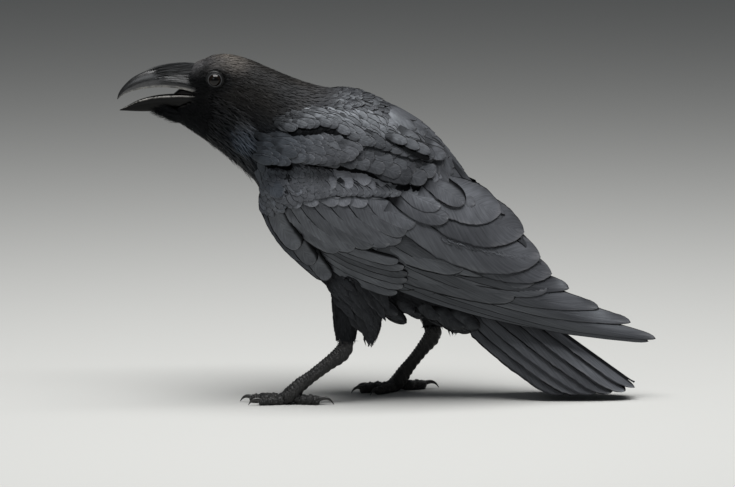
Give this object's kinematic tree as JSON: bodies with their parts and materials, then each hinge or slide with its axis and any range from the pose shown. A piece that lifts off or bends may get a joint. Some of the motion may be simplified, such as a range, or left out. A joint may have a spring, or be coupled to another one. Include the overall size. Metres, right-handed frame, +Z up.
{
  "type": "common raven",
  "caption": "Life-size museum model of a standing raven with its bill open, wings folded and tail tip on the ground.",
  "frame": {"origin": "on the ground, at the centre of the bounding box's base", "axes": "-X towards the bill, -Y towards the bird's left side, +Z up"},
  "size_m": [0.538, 0.124, 0.3468],
  "materials": {
    "black_plumage": "charcoal black feathers with a slight sheen and paler worn edges",
    "brown_plumage": "dull brownish black head and neck feathers",
    "horn": "black horn, smooth with a soft shine",
    "leg_skin": "black scaly leg skin",
    "eye_brown": "very dark brown polished eye"
  },
  "bodies": {
    "root": {"bill_lower": "horn", "bill_upper": "horn", "claw_hind_left": "horn", "claw_hind_right": "horn", "claw_inner_left": "horn", "claw_inner_right": "horn", "claw_middle_left": "horn", "claw_middle_right": "horn", "claw_outer_left": "horn", "claw_outer_right": "horn", "eye_left": "eye_brown", "eye_right": "eye_brown", "head": "brown_plumage", "neck": "brown_plumage", "primaries_left": "black_plumage", "primaries_right": "black_plumage", "tail": "black_plumage", "tarsus_left": "leg_skin", "tarsus_right": "leg_skin", "thigh_left": "black_plumage", "thigh_right": "black_plumage", "thigh_tuft_left": "black_plumage", "thigh_tuft_right": "black_plumage", "toe_hind_left": "leg_skin", "toe_hind_right": "leg_skin", "toe_inner_left": "leg_skin", "toe_inner_right": "leg_skin", "toe_middle_left": "leg_skin", "toe_middle_right": "leg_skin", "toe_outer_left": "leg_skin", "toe_outer_right": "leg_skin", "trunk": "black_plumage", "wing_left": "black_plumage", "wing_right": "black_plumage"}
  },
  "joints": []
}
